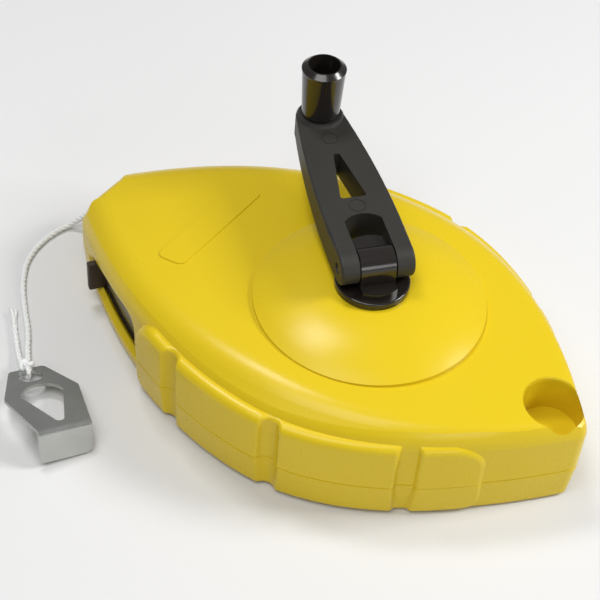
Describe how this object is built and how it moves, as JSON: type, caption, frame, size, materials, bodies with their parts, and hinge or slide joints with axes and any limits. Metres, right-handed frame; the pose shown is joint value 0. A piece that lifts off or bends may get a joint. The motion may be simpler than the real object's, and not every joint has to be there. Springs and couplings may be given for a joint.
{
  "type": "chalk line reel",
  "caption": "leaf-shaped chalk line reel with folding crank, geared spool, sliding chalk door, string and steel hook",
  "frame": {"origin": "on the reel axis at the flat back face of the case", "axes": "+Z out of the crank side, -X to the nose where the string leaves, +Y to the far side of the case"},
  "size_m": [0.1829, 0.1331, 0.0718],
  "materials": {
    "case_plastic": "satin moulded yellow ABS",
    "door_plastic": "dark brown moulded plastic",
    "smoked_strip": "smoked clear plastic",
    "crank_matte": "fine textured black nylon",
    "crank_gloss": "polished black plastic",
    "gear_plastic": "natural white acetal",
    "bright_steel": "bright turned steel",
    "screw_steel": "dark zinc-plated steel",
    "hook_steel": "satin stamped steel",
    "white_string": "twisted cotton and polyester string",
    "felt": "grey wool felt"
  },
  "bodies": {
    "case": {"lower_case": "case_plastic", "upper_case": "case_plastic", "case_screws": "screw_steel", "ring_gear": "gear_plastic", "spool_axle": "bright_steel", "line_eyelet": "bright_steel", "line_wiper": "felt", "line_lead": "white_string", "chalk_line": "white_string", "line_tail": "white_string", "line_knot": "white_string", "hook": "hook_steel"},
    "crank": {"crank_hub": "crank_gloss", "hub_clip": "bright_steel", "planet_carrier": "gear_plastic", "planet_pins": "bright_steel"},
    "arm": {"crank_arm": "crank_matte", "crank_pin": "bright_steel", "knob_rivet": "crank_gloss"},
    "knob": {"crank_knob": "crank_gloss"},
    "spool": {"spool": "gear_plastic", "sun_gear": "gear_plastic", "wound_line": "white_string"},
    "planet_1": {"planet_gear_1": "gear_plastic"},
    "planet_2": {"planet_gear_2": "gear_plastic"},
    "planet_3": {"planet_gear_3": "gear_plastic"},
    "door": {"chalk_door": "door_plastic", "door_window": "smoked_strip"}
  },
  "joints": [
    {"name": "crank_spin", "type": "hinge", "parent": "case", "child": "crank", "pos_m": [0, 0, 0.0385], "axis": [0, 0, 1], "continuous": true},
    {"name": "crank_fold", "type": "hinge", "parent": "crank", "child": "arm", "pos_m": [0, 0, 0.0485], "axis": [0.6587, 0.7524, 0], "range_deg": [0, 165]},
    {"name": "knob_spin", "type": "hinge", "parent": "arm", "child": "knob", "pos_m": [-0.04477, 0.03919, 0.06], "axis": [0, 0, 1], "continuous": true},
    {"name": "spool_spin", "type": "hinge", "parent": "case", "child": "spool", "pos_m": [0, 0, 0.0144], "axis": [0, 0, 1], "continuous": true},
    {"name": "door_slide", "type": "hinge", "parent": "case", "child": "door", "pos_m": [0.02, 0.1273, 0.014], "axis": [0, 0, 1], "range_deg": [0, 7]},
    {"name": "planet_spin_1", "type": "hinge", "parent": "crank", "child": "planet_1", "pos_m": [-0.01354, 0.01186, 0.0287], "axis": [0, 0, 1], "continuous": true},
    {"name": "planet_spin_2", "type": "hinge", "parent": "crank", "child": "planet_2", "pos_m": [-0.0035, -0.01766, 0.0287], "axis": [0, 0, 1], "continuous": true},
    {"name": "planet_spin_3", "type": "hinge", "parent": "crank", "child": "planet_3", "pos_m": [0.01704, 0.0058, 0.0287], "axis": [0, 0, 1], "continuous": true}
  ],
  "couplings": [
    {"joint": "spool_spin", "follows": "crank_spin", "ratio": 3},
    {"joint": "planet_spin_1", "follows": "crank_spin", "ratio": -4},
    {"joint": "planet_spin_2", "follows": "crank_spin", "ratio": -4},
    {"joint": "planet_spin_3", "follows": "crank_spin", "ratio": -4}
  ]
}
